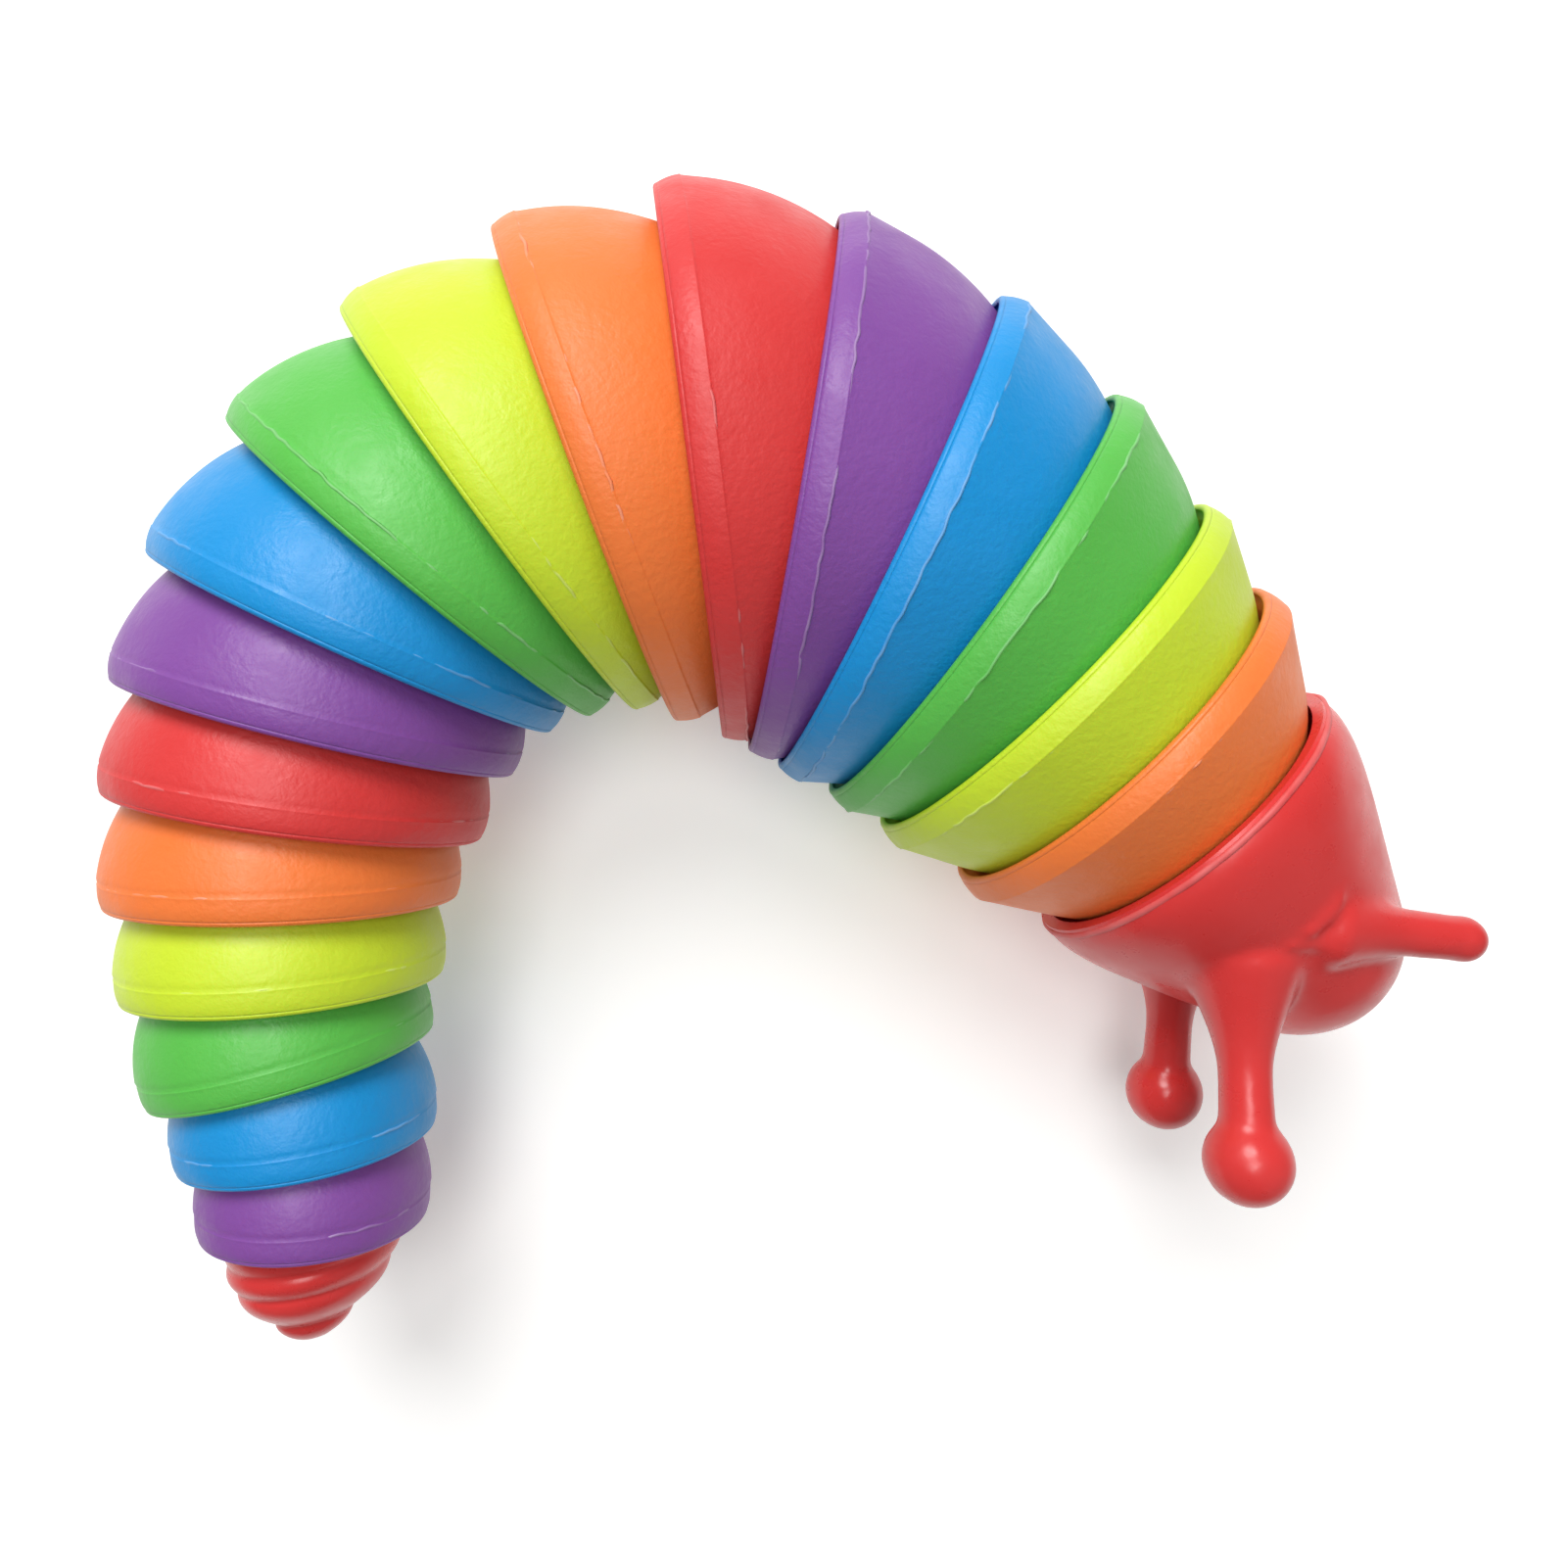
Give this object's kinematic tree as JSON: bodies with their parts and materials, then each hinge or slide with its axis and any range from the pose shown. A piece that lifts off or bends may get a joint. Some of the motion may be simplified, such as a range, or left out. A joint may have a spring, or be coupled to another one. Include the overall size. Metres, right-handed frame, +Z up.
{
  "type": "articulated slug fidget toy",
  "caption": "Articulated slug toy: a horned head, a row of nested domed rings in rainbow colours and a whorled tail cone, hinged so the row curls and straightens.",
  "frame": {"origin": "centre of the bounding box in plan, on the surface the toy lies on", "axes": "+Z up, parallel to every hinge axis; the toy lies on its side, curled in the XY plane, with the head towards +X and the tail towards -Y"},
  "size_m": [0.1152, 0.0998, 0.048],
  "materials": {
    "red": "satin injection-moulded plastic, plain red, fine moulded texture",
    "orange": "satin injection-moulded plastic, plain orange, fine moulded texture",
    "yellow": "satin injection-moulded plastic, plain yellow, fine moulded texture",
    "green": "satin injection-moulded plastic, plain green, fine moulded texture",
    "blue": "satin injection-moulded plastic, plain blue, fine moulded texture",
    "purple": "satin injection-moulded plastic, plain purple, fine moulded texture",
    "pin": "plain natural plastic rod, hidden inside the rings"
  },
  "bodies": {
    "head": {"head": "red", "cross_pin_01": "pin"},
    "ring_01_orange": {"ring_01_orange": "orange", "cross_pin_02": "pin"},
    "ring_02_yellow": {"ring_02_yellow": "yellow", "cross_pin_03": "pin"},
    "ring_03_green": {"ring_03_green": "green", "cross_pin_04": "pin"},
    "ring_04_blue": {"ring_04_blue": "blue", "cross_pin_05": "pin"},
    "ring_05_purple": {"ring_05_purple": "purple", "cross_pin_06": "pin"},
    "ring_06_red": {"ring_06_red": "red", "cross_pin_07": "pin"},
    "ring_07_orange": {"ring_07_orange": "orange", "cross_pin_08": "pin"},
    "ring_08_yellow": {"ring_08_yellow": "yellow", "cross_pin_09": "pin"},
    "ring_09_green": {"ring_09_green": "green", "cross_pin_10": "pin"},
    "ring_10_blue": {"ring_10_blue": "blue", "cross_pin_11": "pin"},
    "ring_11_purple": {"ring_11_purple": "purple", "cross_pin_12": "pin"},
    "ring_12_red": {"ring_12_red": "red", "cross_pin_13": "pin"},
    "ring_13_orange": {"ring_13_orange": "orange", "cross_pin_14": "pin"},
    "ring_14_yellow": {"ring_14_yellow": "yellow", "cross_pin_15": "pin"},
    "ring_15_green": {"ring_15_green": "green", "cross_pin_16": "pin"},
    "ring_16_blue": {"ring_16_blue": "blue", "cross_pin_17": "pin"},
    "ring_17_purple": {"ring_17_purple": "purple", "cross_pin_18": "pin"},
    "tail_cone": {"tail_cone": "red"}
  },
  "joints": [
    {"name": "bend_01", "type": "hinge", "parent": "head", "child": "ring_01_orange", "pos_m": [0.0278, 0.00414, 0.024], "axis": [0, 0, 1], "range_deg": [-15.5, 10.5]},
    {"name": "bend_02", "type": "hinge", "parent": "ring_01_orange", "child": "ring_02_yellow", "pos_m": [0.02184, 0.00985, 0.024], "axis": [0, 0, 1], "range_deg": [-13.4, 12.6]},
    {"name": "bend_03", "type": "hinge", "parent": "ring_02_yellow", "child": "ring_03_green", "pos_m": [0.01568, 0.01568, 0.024], "axis": [0, 0, 1], "range_deg": [-21.9, 4.1]},
    {"name": "bend_04", "type": "hinge", "parent": "ring_03_green", "child": "ring_04_blue", "pos_m": [0.00852, 0.0206, 0.024], "axis": [0, 0, 1], "range_deg": [-22.9, 3.1]},
    {"name": "bend_05", "type": "hinge", "parent": "ring_04_blue", "child": "ring_05_purple", "pos_m": [0.00049, 0.02428, 0.024], "axis": [0, 0, 1], "range_deg": [-32.3, 1.7]},
    {"name": "bend_06", "type": "hinge", "parent": "ring_05_purple", "child": "ring_06_red", "pos_m": [-0.00831, 0.02572, 0.024], "axis": [0, 0, 1], "range_deg": [-33.5, 0.5]},
    {"name": "bend_07", "type": "hinge", "parent": "ring_06_red", "child": "ring_07_orange", "pos_m": [-0.01675, 0.02465, 0.024], "axis": [0, 0, 1], "range_deg": [-29.8, 4.2]},
    {"name": "bend_08", "type": "hinge", "parent": "ring_07_orange", "child": "ring_08_yellow", "pos_m": [-0.02456, 0.02181, 0.024], "axis": [0, 0, 1], "range_deg": [-32.6, 1.4]},
    {"name": "bend_09", "type": "hinge", "parent": "ring_08_yellow", "child": "ring_09_green", "pos_m": [-0.03114, 0.0171, 0.024], "axis": [0, 0, 1], "range_deg": [-31.1, 2.9]},
    {"name": "bend_10", "type": "hinge", "parent": "ring_09_green", "child": "ring_10_blue", "pos_m": [-0.03624, 0.01108, 0.024], "axis": [0, 0, 1], "range_deg": [-32.1, 1.9]},
    {"name": "bend_11", "type": "hinge", "parent": "ring_10_blue", "child": "ring_11_purple", "pos_m": [-0.03952, 0.00413, 0.024], "axis": [0, 0, 1], "range_deg": [-27.3, 6.7]},
    {"name": "bend_12", "type": "hinge", "parent": "ring_11_purple", "child": "ring_12_red", "pos_m": [-0.04144, -0.00311, 0.024], "axis": [0, 0, 1], "range_deg": [-22.6, 11.4]},
    {"name": "bend_13", "type": "hinge", "parent": "ring_12_red", "child": "ring_13_orange", "pos_m": [-0.04262, -0.01029, 0.024], "axis": [0, 0, 1], "range_deg": [-25.9, 8.1]},
    {"name": "bend_14", "type": "hinge", "parent": "ring_13_orange", "child": "ring_14_yellow", "pos_m": [-0.04267, -0.01736, 0.024], "axis": [0, 0, 1], "range_deg": [-14.9, 9.1]},
    {"name": "bend_15", "type": "hinge", "parent": "ring_14_yellow", "child": "ring_15_green", "pos_m": [-0.04237, -0.02422, 0.024], "axis": [0, 0, 1], "range_deg": [-22.4, 1.6]},
    {"name": "bend_16", "type": "hinge", "parent": "ring_15_green", "child": "ring_16_blue", "pos_m": [-0.04088, -0.03071, 0.024], "axis": [0, 0, 1], "range_deg": [-5.3, 18.7]},
    {"name": "bend_17", "type": "hinge", "parent": "ring_16_blue", "child": "ring_17_purple", "pos_m": [-0.04018, -0.03713, 0.024], "axis": [0, 0, 1], "range_deg": [-6.3, 17.7]},
    {"name": "bend_18", "type": "hinge", "parent": "ring_17_purple", "child": "tail_cone", "pos_m": [-0.04013, -0.04293, 0.024], "axis": [0, 0, 1], "range_deg": [-10.5, 13.5]}
  ]
}
